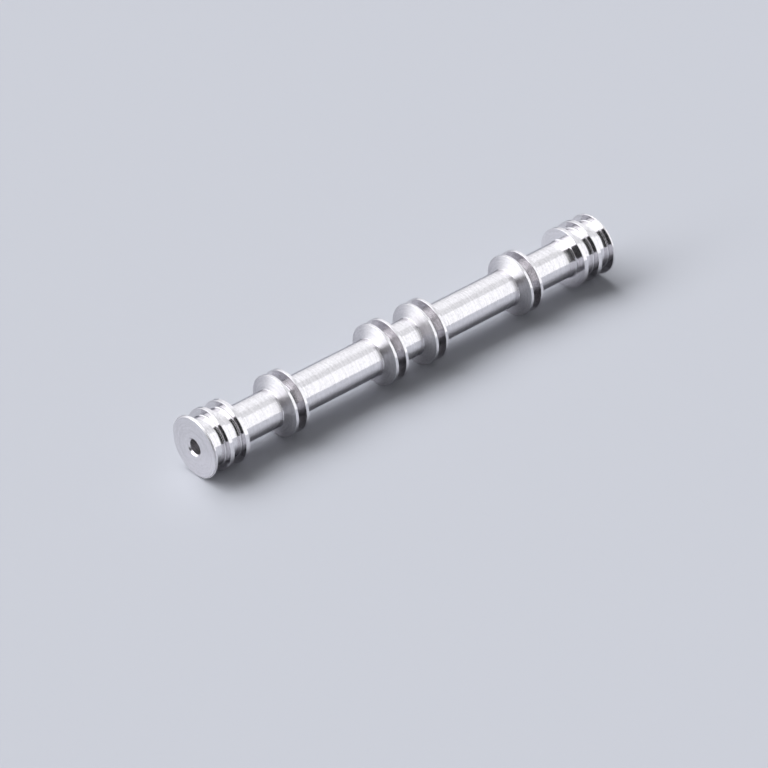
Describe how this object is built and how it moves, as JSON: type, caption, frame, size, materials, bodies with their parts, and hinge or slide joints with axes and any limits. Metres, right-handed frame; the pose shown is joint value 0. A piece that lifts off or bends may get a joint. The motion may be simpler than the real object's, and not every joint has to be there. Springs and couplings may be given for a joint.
{
  "type": "pneumatic valve spool",
  "caption": "Turned aluminium valve spool: slim necks between sealing lands with steep cone flanks, and a flanged, grooved head at each end.",
  "frame": {"origin": "centre of the lower end face, on the spool's axis", "axes": "+Z along the spool's axis, from the lower end face to the upper one, which is the face that shows in the picture"},
  "size_m": [0.01, 0.01, 0.0808],
  "materials": {
    "turned_aluminium": "bright turned, with fine circumferential tool marks"
  },
  "bodies": {
    "root": {"valve_spool": "turned_aluminium"}
  },
  "joints": []
}
